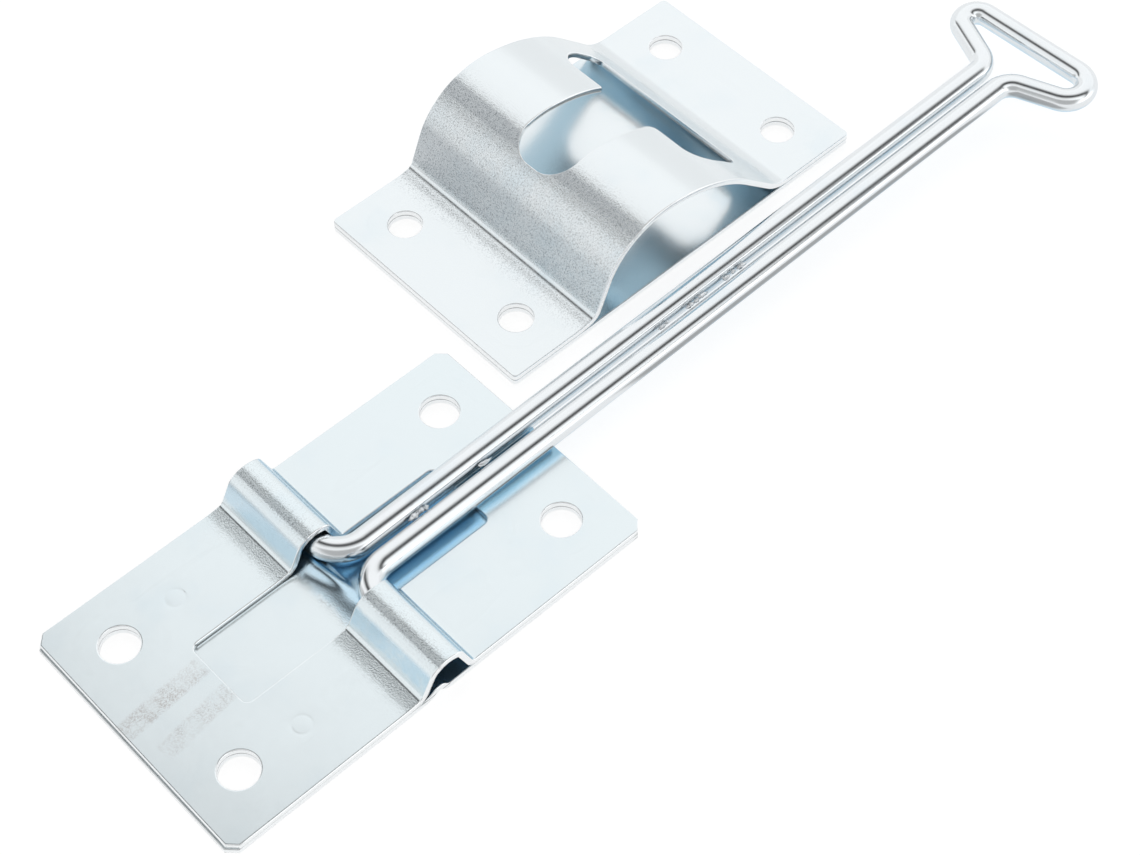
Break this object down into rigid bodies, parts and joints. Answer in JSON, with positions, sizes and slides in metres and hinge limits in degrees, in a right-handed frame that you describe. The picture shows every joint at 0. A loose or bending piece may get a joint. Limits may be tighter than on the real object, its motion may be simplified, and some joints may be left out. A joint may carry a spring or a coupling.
{
  "type": "trailer door latch",
  "caption": "Door hold-back latch of zinc-plated steel: a hinged T-shaped wire hook in a folded holder plate, with a humped keeper plate that has a T-shaped slot.",
  "frame": {"origin": "centre of the holder's four screw holes, at the holder's back face", "axes": "+Z out of the surface that the latch is screwed to, +X along the hook towards its T head"},
  "size_m": [0.1954, 0.0784, 0.0168],
  "materials": {
    "holder_zinc": "bright zinc plate with a faint blue tint, satin on the flats",
    "keeper_zinc": "bright zinc plate with a faint blue tint, grainy over the hump",
    "wire_zinc": "bright zinc-plated drawn wire, glossy"
  },
  "bodies": {
    "plates": {"holder_back_plate": "holder_zinc", "holder_front_plate": "holder_zinc", "keeper_back_plate": "keeper_zinc", "keeper_front_plate": "keeper_zinc"},
    "hook": {"t_hook": "wire_zinc"}
  },
  "joints": [
    {"name": "hook_swing", "type": "hinge", "parent": "plates", "child": "hook", "pos_m": [0.0006, 0, 0.00385], "axis": [0, -1, 0], "range_deg": [0, 155]}
  ]
}
